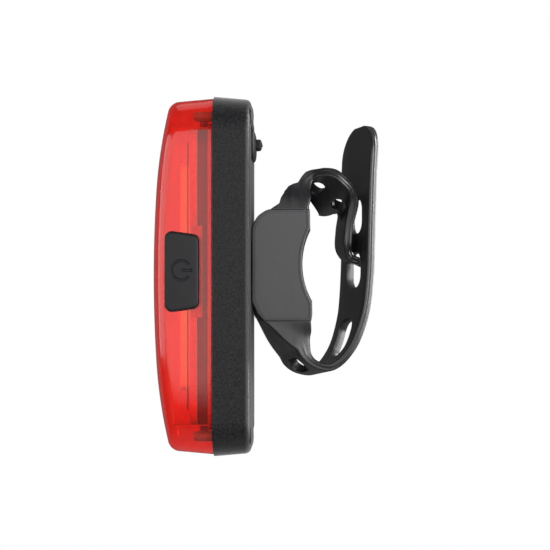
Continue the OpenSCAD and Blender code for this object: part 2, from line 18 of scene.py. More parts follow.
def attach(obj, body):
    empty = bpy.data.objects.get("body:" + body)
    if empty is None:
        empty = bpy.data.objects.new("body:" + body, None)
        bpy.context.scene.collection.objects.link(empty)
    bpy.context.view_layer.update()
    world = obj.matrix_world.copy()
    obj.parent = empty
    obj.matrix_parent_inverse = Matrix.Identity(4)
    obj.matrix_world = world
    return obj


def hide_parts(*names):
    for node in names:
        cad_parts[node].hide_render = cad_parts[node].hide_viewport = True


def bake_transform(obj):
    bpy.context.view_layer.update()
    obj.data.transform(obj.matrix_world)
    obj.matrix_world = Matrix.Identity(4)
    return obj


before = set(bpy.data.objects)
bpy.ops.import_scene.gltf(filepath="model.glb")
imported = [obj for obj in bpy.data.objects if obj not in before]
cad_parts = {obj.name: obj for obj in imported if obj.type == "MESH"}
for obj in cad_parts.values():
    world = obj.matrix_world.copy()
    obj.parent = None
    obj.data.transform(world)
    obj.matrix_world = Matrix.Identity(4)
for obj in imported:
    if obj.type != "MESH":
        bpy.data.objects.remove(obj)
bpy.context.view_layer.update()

MM = 0.001
WELD = 0.03
SMOOTH = 35.0
LOG = logging.getLogger("rear_light")

Piece = bpy.types.Object
Node = bpy.types.Node
Tree = bpy.types.NodeTree
Point = tuple[float, float]
Loop = list[Point]
Ring = list[tuple[float, float, float]]


class Body(str, Enum):
    """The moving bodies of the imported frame."""

    MOUNT = "mount"
    STRAP = "strap"
    LIGHT = "light"
    BUTTON = "button"
    COVER = "cover"


class Axis(Enum):
    """The axis that a flat outline is extruded along."""

    X = "x"
    Y = "y"


# Outlines


def edge_runs(loop: Sequence[Point], i: int) -> tuple[Vector, Vector, Vector]:
    """Return a corner and the directions of the edges before and after it."""
    here = Vector(loop[i])
    before = (here - Vector(loop[i - 1])).normalized()
    after = (Vector(loop[(i + 1) % len(loop)]) - here).normalized()
    return here, before, after


def inset_corner(loop: Sequence[Point], i: int, depth: float) -> Vector:
    """Return where a corner goes when an outline that runs anticlockwise moves inwards."""
    here, before, after = edge_runs(loop, i)
    normal_in = Vector((-before.y, before.x))
    normal_out = Vector((-after.y, after.x))
    return here + depth * (normal_in + normal_out) / (1 + normal_in.dot(normal_out))


def inset_loop(loop: Sequence[Point], depth: float) -> Loop:
    """Return an outline that runs anticlockwise, moved inwards."""
    return [tuple(inset_corner(loop, i, depth)) for i in range(len(loop))]


def rounded_loop(corners: Sequence[Point], radii: Sequence[float], steps: int = 8) -> Loop:
    """Round the convex corners of an outline that runs anticlockwise.

    Args:
        corners: the sharp corners.
        radii: one radius for each corner.
        steps: segments in each corner arc.

    Returns:
        The points of the rounded outline.
    """
    points: Loop = []
    for i, (corner, radius) in enumerate(zip(corners, radii)):
        if radius <= 0:
            points.append(tuple(Vector(corner)))
            continue
        _, before, after = edge_runs(corners, i)
        centre = inset_corner(corners, i, radius)
        start = math.atan2(-before.x, before.y)
        turn = before.angle_signed(after) * -1
        for k in range(steps + 1):
            angle = start + turn * k / steps
            points.append((centre.x + radius * math.cos(angle), centre.y + radius * math.sin(angle)))
    return points


def circle(radius: float, count: int) -> Loop:
    """Return the points of a circle round the origin."""
    return [(radius * math.cos(t), radius * math.sin(t)) for t in np.linspace(0, math.tau, count, False)]


def rounded_rect(half_w: float, half_h: float, radius: float, steps: int = 8, along: int = 1) -> Loop:
    """Make a rounded rectangle whose long sides can be subdivided.

    Args:
        half_w: half the width.
        half_h: half the height.
        radius: the corner radius.
        steps: segments in each corner.
        along: segments along each straight side.

    Returns:
        The points of the outline, anticlockwise.
    """
    corners = [(-half_w, -half_h), (half_w, -half_h), (half_w, half_h), (-half_w, half_h)]
    arcs = rounded_loop(corners, [radius] * 4, steps)
    points: Loop = []
    for i, point in enumerate(arcs):
        points.append(point)
        if (i + 1) % (steps + 1) == 0:
            end = arcs[(i + 1) % len(arcs)]
            points += [tuple(Vector(point).lerp(Vector(end), k / along)) for k in range(1, along)]
    return points


# Meshes


def make_piece(name: str, verts: Sequence[Sequence[float]], faces: Sequence[Sequence[int]],
               angle: float = SMOOTH) -> Piece:
    """Make a mesh object from points in millimetres.

    Args:
        name: the object's name.
        verts: its points.
        faces: its faces.
        angle: edges sharper than this many degrees stay sharp.

    Returns:
        The new object, at the origin.
    """
    mesh = bpy.data.meshes.new(name)
    mesh.from_pydata([[c * MM for c in v] for v in verts], [], faces)
    piece = bpy.data.objects.new(name, mesh)
    bpy.context.scene.collection.objects.link(piece)
    tidy(piece, angle)
    return piece


def tidy(piece: Piece, angle: float, merge: float = 1e-4) -> None:
    """Merge doubles, point the faces outwards and smooth all but the sharp edges.

    Args:
        piece: the mesh object.
        angle: edges sharper than this many degrees stay sharp.
        merge: points closer than this many millimetres become one.
    """
    work = bmesh.new()
    work.from_mesh(piece.data)
    bmesh.ops.remove_doubles(work, verts=work.verts, dist=merge * MM)
    bmesh.ops.recalc_face_normals(work, faces=work.faces)
    work.to_mesh(piece.data)
    work.free()
    piece.data.shade_smooth()
    piece.data.set_sharp_from_angle(angle=math.radians(angle))


def loft(name: str, rings: Sequence[Ring], angle: float = SMOOTH) -> Piece:
    """Skin a row of rings that have the same number of points, and close both ends.

    Args:
        name: the object's name.
        rings: the rings, in order.
        angle: edges sharper than this many degrees stay sharp.

    Returns:
        The new object.
    """
    n = len(rings[0])
    verts = [point for ring in rings for point in ring]
    rows = len(rings)
    faces = []
    for i in range(rows - 1):
        a, b = i * n, (i + 1) * n
        faces += [(a + k, a + (k + 1) % n, b + (k + 1) % n, b + k) for k in range(n)]
    faces += [tuple(range(n - 1, -1, -1)), tuple(range((rows - 1) * n, rows * n))]
    return make_piece(name, verts, faces, angle)


def prism(name: str, loop: Sequence[Point], axis: Axis, low: float, high: float) -> Piece:
    """Extrude an outline along X, as (y, z), or along Y, as (x, z).

    Args:
        name: the object's name.
        loop: the outline.
        axis: the extrusion axis.
        low: where the extrusion starts.
        high: where it ends.

    Returns:
        The new object.
    """
    def lift(depth: float) -> Ring:
        if axis is Axis.X:
            return [(depth, u, v) for u, v in loop]
        return [(u, depth, v) for u, v in loop]
    return loft(name, [lift(low), lift(high)])


def bake(piece: Piece) -> None:
    """Turn the piece's modifiers into a plain mesh and remove them."""
    graph = bpy.context.evaluated_depsgraph_get()
    fresh = bpy.data.meshes.new_from_object(piece.evaluated_get(graph), preserve_all_data_layers=True,
                                            depsgraph=graph)
    piece.modifiers.clear()
    old = piece.data
    piece.data = fresh
    fresh.name = piece.name
    bpy.data.meshes.remove(old)


def cut(piece: Piece, *cutters: Piece) -> None:
    """Subtract the cutters from the piece and delete them."""
    for cutter in cutters:
        change = piece.modifiers.new("cut", "BOOLEAN")
        change.operation = "DIFFERENCE"
        change.solver = "EXACT"
        change.object = cutter
        bake(piece)
        bpy.data.objects.remove(cutter)


def soften(piece: Piece, width: float, segments: int = 3, angle: float = SMOOTH) -> None:
    """Round the piece's sharp edges.

    Args:
        piece: the mesh object.
        width: the width of the round, in millimetres.
        segments: segments across it.
        angle: edges sharper than this many degrees are rounded.
    """
    tidy(piece, angle, WELD)
    change = piece.modifiers.new("soften", "BEVEL")
    change.width = width * MM
    change.segments = segments
    change.limit_method = "ANGLE"
    change.angle_limit = math.radians(angle)
    change.use_clamp_overlap = True
    change.harden_normals = False
    bake(piece)
    tidy(piece, 50.0)


# Node trees


def wire(tree: Tree, kinds: dict[str, str],
         links: Sequence[tuple[str, str, str, str | int]]) -> dict[str, Node]:
    """Make named nodes and join them.

    Args:
        tree: the node tree.
        kinds: the type of each new node.
        links: from which node and output to which node and input.

    Returns:
        The nodes by name.
    """
    nodes = {name: tree.nodes.new(kind) for name, kind in kinds.items()}
    for source, output, target, entry in links:
        tree.links.new(nodes[source].outputs[output], nodes[target].inputs[entry])
    return nodes


class PieceGrid:
    """A node tree that repeats a small mesh along two steps."""

    SOCKETS = {"Start": "NodeSocketVector", "Step A": "NodeSocketVector", "Count A": "NodeSocketInt",
               "Step B": "NodeSocketVector", "Count B": "NodeSocketInt", "Finish": "NodeSocketMaterial"}

    def __init__(self) -> None:
        """Build the tree once."""
        tree = bpy.data.node_groups.new("piece_grid", "GeometryNodeTree")
        tree.interface.new_socket("Geometry", in_out="INPUT", socket_type="NodeSocketGeometry")
        for name, kind in self.SOCKETS.items():
            tree.interface.new_socket(name, in_out="INPUT", socket_type=kind)
        tree.interface.new_socket("Geometry", in_out="OUTPUT", socket_type="NodeSocketGeometry")
        nodes = wire(tree, {
            "given": "NodeGroupInput", "row_a": "GeometryNodeMeshLine", "row_b": "GeometryNodeMeshLine",
            "spread": "GeometryNodeInstanceOnPoints", "points": "GeometryNodeRealizeInstances",
            "place": "GeometryNodeInstanceOnPoints", "real": "GeometryNodeRealizeInstances",
            "dress": "GeometryNodeSetMaterial", "out": "NodeGroupOutput"}, (
            ("given", "Count A", "row_a", "Count"), ("given", "Step A", "row_a", "Offset"),
            ("given", "Count B", "row_b", "Count"), ("given", "Step B", "row_b", "Offset"),
            ("given", "Start", "row_a", "Start Location"), ("row_a", "Mesh", "spread", "Points"),
            ("row_b", "Mesh", "spread", "Instance"), ("spread", "Instances", "points", "Geometry"),
            ("points", "Geometry", "place", "Points"), ("given", "Geometry", "place", "Instance"),
            ("place", "Instances", "real", "Geometry"), ("real", "Geometry", "dress", "Geometry"),
            ("given", "Finish", "dress", "Material"), ("dress", "Geometry", "out", "Geometry")))
        for name in ("row_a", "row_b"):
            nodes[name].mode = "OFFSET"
        self.tree = tree

    def repeat(self, piece: Piece, finish: bpy.types.Material, start: Sequence[float],
               step_a: Sequence[float], count_a: int, step_b: Sequence[float] = (0, 0, 0),
               count_b: int = 1) -> None:
        """Repeat the piece's own mesh and bake the result.

        Args:
            piece: the object that holds one copy, near the origin.
            finish: the material of all copies.
            start: place of the first copy, in millimetres.
            step_a: first step between copies.
            count_a: copies along the first step.
            step_b: second step.
            count_b: copies along the second step.
        """
        change = piece.modifiers.new("grid", "NODES")
        change.node_group = self.tree
        values = {"Start": [c * MM for c in start], "Step A": [c * MM for c in step_a], "Count A": count_a,
                  "Step B": [c * MM for c in step_b], "Count B": count_b, "Finish": finish}
        for item in self.tree.interface.items_tree:
            if item.in_out == "INPUT" and item.name in values:
                change[item.identifier] = values[item.name]
        bake(piece)


# Finishes


def link(tree: Tree, source: bpy.types.NodeSocket, target: bpy.types.NodeSocket) -> None:
    """Join two sockets."""
    tree.links.new(source, target)


class Effects:
    """Shader node groups that several finishes share."""

    def __init__(self) -> None:
        """Build each group once."""
        self.grain = self._grain()
        self.flow_and_sheen_streaks = self._flow_and_sheen_streaks()

    @staticmethod
    def _group(name: str, inputs: dict[str, float], outputs: Sequence[str]) -> Tree:
        """Start a group with a Vector input, value inputs and value outputs.

        Args:
            name: the group's name.
            inputs: value inputs and their defaults.
            outputs: value outputs.

        Returns:
            The group.
        """
        tree = bpy.data.node_groups.new(name, "ShaderNodeTree")
        tree.interface.new_socket("Vector", in_out="INPUT", socket_type="NodeSocketVector")
        for label, value in inputs.items():
            socket = tree.interface.new_socket(label, in_out="INPUT", socket_type="NodeSocketFloat")
            socket.default_value = value
        for label in outputs:
            tree.interface.new_socket(label, in_out="OUTPUT", socket_type="NodeSocketFloat")
        return tree

    def _grain(self) -> Tree:
        """Moulded grain: fine speckle in a mask and a height.

        Returns:
            The group.
        """
        tree = self._group("moulded_grain", {"Scale": 3000.0}, ["Mask", "Height"])
        nodes = wire(tree, {
            "given": "NodeGroupInput", "fine": "ShaderNodeTexNoise", "cells": "ShaderNodeTexVoronoi",
            "mix": "ShaderNodeMath", "spread": "ShaderNodeMapRange", "out": "NodeGroupOutput"}, (
            ("given", "Vector", "fine", "Vector"), ("given", "Scale", "fine", "Scale"),
            ("given", "Vector", "cells", "Vector"), ("given", "Scale", "cells", "Scale"),
            ("cells", "Distance", "mix", 0), ("fine", "Fac", "mix", 2), ("fine", "Fac", "spread", "Value"),
            ("spread", "Result", "out", "Mask"), ("mix", "Value", "out", "Height")))
        nodes["fine"].inputs["Detail"].default_value = 3.0
        nodes["fine"].inputs["Roughness"].default_value = 0.6
        nodes["mix"].operation = "MULTIPLY_ADD"
        nodes["mix"].inputs[1].default_value = -0.5
        nodes["spread"].inputs["From Min"].default_value = 0.35
        nodes["spread"].inputs["From Max"].default_value = 0.65
        return tree

    def _flow_and_sheen_streaks(self) -> Tree:
        """Streaks: soft bands that run along Z. On the lens they are flow lines; on the rubber they vary the
        roughness as handling marks and the colour as painted sheen lines.

        Returns:
            The group.
        """
        tree = self._group("flow_and_sheen_bands", {"Scale": 900.0, "Stretch": 0.06}, ["Mask"])
        nodes = wire(tree, {
            "given": "NodeGroupInput", "axis": "ShaderNodeCombineXYZ", "squeeze": "ShaderNodeVectorMath",
            "bands": "ShaderNodeTexNoise", "spread": "ShaderNodeMapRange", "out": "NodeGroupOutput"}, (
            ("given", "Stretch", "axis", "Z"), ("given", "Vector", "squeeze", 0),
            ("axis", "Vector", "squeeze", 1), ("squeeze", "Vector", "bands", "Vector"),
            ("given", "Scale", "bands", "Scale"), ("bands", "Fac", "spread", "Value"),
            ("spread", "Result", "out", "Mask")))
        nodes["axis"].inputs["X"].default_value = 1.0
        nodes["axis"].inputs["Y"].default_value = 1.0
        nodes["squeeze"].operation = "MULTIPLY"
        nodes["bands"].inputs["Detail"].default_value = 4.0
        nodes["spread"].inputs["From Min"].default_value = 0.3
        nodes["spread"].inputs["From Max"].default_value = 0.7
        return tree


@dataclass(frozen=True)
class Finish:
    """A surface whose colour and roughness vary between two ends over a shared pattern."""

    name: str
    dark: tuple[float, float, float]
    light: tuple[float, float, float]
    rough: tuple[float, float]
    grain_scale: float = 3000.0
    flow_and_sheen_streaks: bool = False
    bump: float = 0.1
    bump_depth: float = 0.00005
    metallic: float = 0.0
    specular: float = 0.5
    sheen: float = 0.0
    coat: float = 0.0
    transmission: float = 0.0
    ior: float = 1.5
    absorb: tuple[float, float, float] | None = None
    glow: float = 0.0

    SHEEN_ROUGH = 0.4
    COAT_ROUGH = 0.1
    STREAK_GRAIN = 4000.0

    def _relief(self, tree: Tree, place: Node, effects: Effects) -> None:
        """Bump the shader's normal with the fine grain.

        Args:
            tree: the material's nodes.
            place: the node that gives the object's own coordinates.
            effects: the shared node groups.
        """
        grain = tree.nodes.new("ShaderNodeGroup")
        grain.node_tree = effects.grain
        grain.inputs["Scale"].default_value = self.STREAK_GRAIN if self.flow_and_sheen_streaks else self.grain_scale
        link(tree, place.outputs["Object"], grain.inputs["Vector"])
        relief = tree.nodes.new("ShaderNodeBump")
        relief.inputs["Strength"].default_value = self.bump
        relief.inputs["Distance"].default_value = self.bump_depth
        link(tree, grain.outputs["Height"], relief.inputs["Height"])
        link(tree, relief.outputs["Normal"], tree.nodes["Principled BSDF"].inputs["Normal"])

    def material(self, effects: Effects) -> bpy.types.Material:
        """Build the material.

        Args:
            effects: the shared node groups.

        Returns:
            The material.
        """
        material = bpy.data.materials.new(self.name)
        material.use_nodes = True
        tree = material.node_tree
        shader = tree.nodes["Principled BSDF"]
        place = tree.nodes.new("ShaderNodeTexCoord")
        pattern = tree.nodes.new("ShaderNodeGroup")
        # With the streak group, the colour bands on the rubber are painted sheen lines and on the lens flow
        # lines.
        pattern.node_tree = effects.flow_and_sheen_streaks if self.flow_and_sheen_streaks else effects.grain
        pattern.inputs["Scale"].default_value = self.grain_scale
        link(tree, place.outputs["Object"], pattern.inputs["Vector"])
        colour = tree.nodes.new("ShaderNodeMix")
        colour.data_type = "RGBA"
        colour.inputs["A"].default_value = (*self.dark, 1)
        colour.inputs["B"].default_value = (*self.light, 1)
        link(tree, pattern.outputs["Mask"], colour.inputs["Factor"])
        link(tree, colour.outputs["Result"], shader.inputs["Base Color"])
        rough = tree.nodes.new("ShaderNodeMapRange")
        rough.inputs["To Min"].default_value = self.rough[0]
        rough.inputs["To Max"].default_value = self.rough[1]
        link(tree, pattern.outputs["Mask"], rough.inputs["Value"])
        link(tree, rough.outputs["Result"], shader.inputs["Roughness"])
        if self.bump > 0:
            self._relief(tree, place, effects)
        values = {
            "Metallic": self.metallic, "Specular IOR Level": self.specular, "Sheen Weight": self.sheen,
            "Sheen Roughness": self.SHEEN_ROUGH, "Coat Weight": self.coat, "Coat Roughness": self.COAT_ROUGH,
            "Transmission Weight": self.transmission, "IOR": self.ior}
        for label, value in values.items():
            shader.inputs[label].default_value = value
        # Glow is painted light: the surface emits its own colour though it is no lamp.
        if self.glow > 0:
            link(tree, colour.outputs["Result"], shader.inputs["Emission Color"])
            shader.inputs["Emission Strength"].default_value = self.glow
        if self.absorb:
            dense = max(self.absorb)
            body = tree.nodes.new("ShaderNodeVolumeAbsorption")
            body.inputs["Color"].default_value = (*[1 - a / dense for a in self.absorb], 1)
            body.inputs["Density"].default_value = dense
            link(tree, body.outputs["Volume"], tree.nodes["Material Output"].inputs["Volume"])
        return material


SHELL = Finish("spark_eroded_black", (0.001, 0.001, 0.0014), (0.014, 0.0142, 0.016), (0.38, 0.54), 2600.0,
               bump=0.35, bump_depth=0.00008, specular=0.22, sheen=0.25)
LENS = Finish("red_lens", (0.86, 0.06, 0.04), (0.96, 0.1, 0.06), (0.04, 0.08), 700.0,
              flow_and_sheen_streaks=True, bump=0.0, transmission=0.92, ior=1.05, coat=1.0, absorb=(15, 122, 138))
MOUNT_RUBBER = Finish("strap_rubber", (0.008, 0.008, 0.009), (0.016, 0.016, 0.018), (0.28, 0.4), 700.0,
                      flow_and_sheen_streaks=True, bump=0.12, specular=0.62)
# The saddle rubber is lighter than the strap rubber: partly the rubber's own near-black, partly painted light
# for the soft box that its near face catches.
LIT_SADDLE_RUBBER = Finish("saddle_rubber_with_painted_light", (0.02, 0.02, 0.022), (0.031, 0.031, 0.0337), (0.3, 0.42), 2200.0,
                       flow_and_sheen_streaks=True, bump=0.12, specular=0.62)
PAD_RUBBER = Finish("button_rubber", (0.012, 0.012, 0.0132), (0.018, 0.018, 0.0197), (0.5, 0.62), 3500.0,
                    bump=0.15, specular=0.25)
SOFT_RUBBER = Finish("seal_rubber", (0.006, 0.006, 0.007), (0.012, 0.012, 0.013), (0.55, 0.7), 2500.0,
                     bump=0.12, specular=0.3)
CLEAR_SEAL = Finish("clear_silicone", (0.5, 0.48, 0.47), (0.62, 0.6, 0.59), (0.35, 0.5), 2500.0, bump=0.05)
WHITE_TRAY = Finish("white_reflector", (0.62, 0.62, 0.6), (0.72, 0.72, 0.7), (0.25, 0.35), 900.0, bump=0.05)
GUIDE = Finish("light_guide", (0.95, 0.93, 0.8), (1.0, 0.98, 0.9), (0.2, 0.3), 1500.0, bump=0.05, coat=0.3)
# The flutes glow as painted light: an orange emission stands in for the bright light guide, though nothing
# here is a lamp.
GLOWING_FLUTE = Finish("painted_glow_flute", (0.8, 0.6, 0.05), (1.0, 0.85, 0.1), (0.2, 0.3), 900.0,
               flow_and_sheen_streaks=True, bump=0.0, glow=0.9)
BOARD = Finish("board_mask", (0.75, 0.76, 0.74), (0.85, 0.86, 0.84), (0.35, 0.5), 1200.0, bump=0.05)
GREEN_BOARD = Finish("green_board", (0.01, 0.09, 0.03), (0.02, 0.15, 0.05), (0.3, 0.45), 1200.0, bump=0.05)
DIODE = Finish("diode", (0.85, 0.72, 0.3), (0.95, 0.85, 0.45), (0.15, 0.25), 2000.0, bump=0.03, coat=0.5)
MOULDED = Finish("moulded_black", (0.015, 0.015, 0.016), (0.03, 0.03, 0.032), (0.4, 0.55), 2500.0, bump=0.1)
ZINC_FLAKE = Finish("zinc_flake", (0.25, 0.25, 0.256), (0.33, 0.33, 0.338), (0.45, 0.6), 2500.0,
                    bump=0.05, metallic=0.3)
STEEL = Finish("bright_steel", (0.5, 0.5, 0.5), (0.66, 0.66, 0.66), (0.2, 0.36), 2500.0,
               bump=0.05, metallic=1.0)
GOLD = Finish("gilt_pin", (0.7, 0.5, 0.18), (0.85, 0.62, 0.25), (0.2, 0.3), 2500.0, bump=0.03, metallic=1.0)
FOIL = Finish("cell_foil", (0.5, 0.5, 0.52), (0.65, 0.65, 0.67), (0.3, 0.45), 600.0, bump=0.2, metallic=0.8)

NODE_FINISH: dict[str, Finish] = {
    "rear_housing": SHELL, "lens": LENS, "lens_gasket": CLEAR_SEAL, "housing_screws": ZINC_FLAKE,
    "reflector_tray": WHITE_TRAY, "led_board": BOARD, "leds": DIODE, "light_guide": GUIDE,
    "switch_body": MOULDED, "switch_plunger": WHITE_TRAY, "power_button": PAD_RUBBER,
    "charge_board": GREEN_BOARD, "board_pins": GOLD, "usb_shell": STEEL, "usb_tongue": MOULDED,
    "battery": FOIL, "battery_pad": SOFT_RUBBER, "port_cover": SOFT_RUBBER, "cover_foot": SOFT_RUBBER,
    "mount_stud": MOULDED, "stud_o_ring": SOFT_RUBBER, "mount_washer": STEEL, "mount_screw": STEEL,
    "saddle_block": LIT_SADDLE_RUBBER, "hook_tongue": MOUNT_RUBBER, "strap_root": MOUNT_RUBBER,
    "strap": MOUNT_RUBBER}


@dataclass
class Workshop:
    """What every sub-assembly needs: shared groups, the repeat tree and the made materials."""

    effects: Effects = field(default_factory=Effects)
    grid: PieceGrid = field(default_factory=PieceGrid)
    made: dict[str, bpy.types.Material] = field(default_factory=dict)

    def material(self, finish: Finish) -> bpy.types.Material:
        """Return the finish's material, made on first use."""
        if finish.name not in self.made:
            self.made[finish.name] = finish.material(self.effects)
        return self.made[finish.name]

    def dress_nodes(self) -> None:
        """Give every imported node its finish."""
        for name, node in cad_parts.items():
            node.data.materials.clear()
            node.data.materials.append(self.material(NODE_FINISH[name]))

    def place(self, piece: Piece, finish: Finish, body: Body, *nodes: str) -> None:
        """Dress a finished piece, let it ride and let it stand for its nodes.

        Args:
            piece: the mesh object.
            finish: its finish.
            body: the body that it rides on.
            nodes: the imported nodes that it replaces.
        """
        piece.data.materials.clear()
        piece.data.materials.append(self.material(finish))
        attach(piece, body.value)
        if nodes:
            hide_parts(*nodes)
        LOG.info("%s rides on %s", piece.name, body.value)


# Light


@dataclass
class RedLens:
    """The crowned lens shell with its hollow and its button opening."""

    part_x: float = -17.9
    front_x: float = -30.8
    half_w: float = 12.15
    half_h: float = 36.45
    corner_r: float = 7.5
    end_draft: float = 5.0
    crown_r: float = 34.0
    long_r: float = 300.0
    shoulder_z: float = 18.0
    shoulder_r: float = 97.0
    edge_r: float = 1.7
    wall: float = 2.0
    room: tuple[float, float, float] = (10.15, 30.4, 4.0)
    gasket: Point = (1.05, 1.05)
    centre_z: float = -2.6
    skirt: tuple[Point, ...] = ((0, 0.4), (0.008, 0.17), (0.018, 0.05), (0.032, 0))
    front_insets: tuple[float, ...] = (3, 4.5, 6, 7.5, 9, 10.5, 11.6, 12.05)
    room_insets: tuple[float, ...] = (10.05, 9, 7, 5, 3, 1.2, 0)
    wall_steps: int = 6
    edge_steps: int = 8
    opening_y: Point = (-20.0, -9.0)

    def outline(self, half_w: float, half_h: float, radius: float) -> Loop:
        """Return a ring's outline as (y, z), with segments fine enough for the crowns."""
        return rounded_rect(half_w, half_h, max(radius, 0.3), 10, 18)

    def sag(self, y: float, z: float) -> float:
        """Return how far the front lies behind its foremost point."""
        over = max(abs(z) - self.shoulder_z, 0.0)
        inner = min(abs(z), self.shoulder_z)
        along = inner ** 2 / (2 * self.long_r) + over * self.shoulder_z / self.long_r
        rise = along + over ** 2 / (2 * self.shoulder_r)
        return rise + self.crown_r - math.sqrt(self.crown_r ** 2 - y * y)

    def outer_ring(self, depth: float, inset: float, lift: float, on_front: bool) -> Ring:
        """Make one ring of the outer skin.

        Args:
            depth: share of the way from the parting plane to the front, for a ring on the wall.
            inset: distance in from the outline.
            lift: how far the ring lies behind the front skin.
            on_front: whether the ring lies on the front.

        Returns:
            The ring's points.
        """
        draft = math.tan(math.radians(self.end_draft))
        ring: Ring = []
        for y, z in self.outline(self.half_w - inset, self.half_h - inset, self.corner_r - inset):
            edge_x = self.front_x + self.sag(y, z) + lift
            x = edge_x if on_front else self.part_x + (edge_x - self.part_x) * depth
            z *= 1 - draft * (self.part_x - x) / self.half_h
            ring.append((x, y, z + self.centre_z))
        return ring

    def outer_rings(self) -> list[Ring]:
        """Return the rings of the outer skin, from the parting plane to the front."""
        rings = [self.outer_ring(depth, inset, self.edge_r, False) for depth, inset in self.skirt]
        for k in range(1, self.wall_steps + 1):
            rings.append(self.outer_ring(k / self.wall_steps, 0.0, self.edge_r, False))
        for k in range(1, self.edge_steps + 1):
            angle = math.pi / 2 * k / self.edge_steps
            inset, lift = self.edge_r * (1 - math.cos(angle)), self.edge_r * (1 - math.sin(angle))
            rings.append(self.outer_ring(0, inset, lift, True))
        rings += [self.outer_ring(0, inset, 0.0, True) for inset in self.front_insets]
        return rings

    def inner_rings(self) -> list[Ring]:
        """Return the rings of the hollow, from its front back to the parting plane."""
        half_w, half_h, radius = self.room
        rise, wide = self.gasket

        def ring(grow: float, x: float | None, inset: float = 0.0) -> Ring:
            loop = self.outline(half_w + grow - inset, half_h + grow - inset, radius + grow - inset)
            return [(self.front_x + self.wall + self.sag(y, z) if x is None else x, y, z + self.centre_z)
                    for y, z in loop]
        rings = [ring(0, None, inset) for inset in self.room_insets]
        rings += [ring(0, self.part_x - rise), ring(wide, self.part_x - rise), ring(wide, self.part_x)]
        return rings

    def build(self, shop: Workshop, opening: Loop) -> None:
        """Make the lens shell.

        Args:
            shop: materials and node trees.
            opening: outline of the button's opening, as (x, z).
        """
        outer = loft("lens_skin", self.outer_rings()[::-1], angle=40)
        hollow = loft("lens_hollow", self.inner_rings() + [
            [(self.part_x + 1, y, z) for _, y, z in self.inner_rings()[-1]]], angle=40)
        cut(outer, hollow, prism("opening", opening, Axis.Y, *self.opening_y))
        outer.name = "red_lens"
        tidy(outer, 30)
        shop.place(outer, LENS, Body.LIGHT, "lens")


@dataclass
class PowerPad:
    """The rubber button pad with its engraved power sign."""

    centre: Point = (-24.0, -1.6)
    depth: float = 6.7
    front_h: float = 16.3
    rear_h: float = 14.3
    corner_r: float = 1.3
    face_y: float = -12.55
    root_y: float = -9.6
    flange_y: float = -10.1
    flange: float = 0.3
    edge: float = 0.45
    sign: Point = (-24.15, -1.35)
    sign_r: float = 1.95
    sign_gap: float = 38.0
    bar_start: float = 0.1
    bar_over: float = 0.35
    groove_r: float = 0.3

    def outline(self, grow: float = 0.0) -> Loop:
        """Return the pad's outline as (x, z), grown by a margin."""
        x, z = self.centre
        rear, front = x + self.depth / 2 + grow, x - self.depth / 2 - grow
        tall, low = self.front_h / 2 + grow, self.rear_h / 2 + grow
        return rounded_loop([(rear, z - low), (rear, z + low), (front, z + tall), (front, z - tall)],
                            [self.corner_r + grow] * 4, 6)

    def groove(self, name: str, path: Sequence[Point]) -> Piece:
        """Make a round cutter that follows a path on the pad's face.

        Args:
            name: the cutter's name.
            path: points as (x, z).

        Returns:
            The cutter.
        """
        rings = []
        for i, (x, z) in enumerate(path):
            a, b = path[max(i - 1, 0)], path[min(i + 1, len(path) - 1)]
            run = Vector((b[0] - a[0], b[1] - a[1])).normalized()
            section = circle(self.groove_r, 12)
            rings.append([(x - run.y * u, self.face_y + v, z + run.x * u) for u, v in section])
        return loft(name, rings)

    def build(self, shop: Workshop) -> None:
        """Make the pad and cut the sign."""
        pad = prism("power_pad", self.outline(), Axis.Y, self.face_y, self.root_y)
        soften(pad, self.edge, 4)
        x, z = self.sign
        arc = [(x + self.sign_r * math.cos(t), z + self.sign_r * math.sin(t))
               for t in np.radians(np.linspace(self.sign_gap, 360 - self.sign_gap, 40))]
        bar = [(x + d, z) for d in np.linspace(self.bar_start, self.sign_r + self.bar_over, 4)]
        cut(pad, self.groove("arc", arc), self.groove("bar", bar))
        tidy(pad, 40)
        shop.place(pad, PAD_RUBBER, Body.BUTTON, "power_button")
        flange = prism("pad_flange", self.outline(self.flange), Axis.Y, self.flange_y, self.root_y)
        shop.place(flange, PAD_RUBBER, Body.BUTTON)


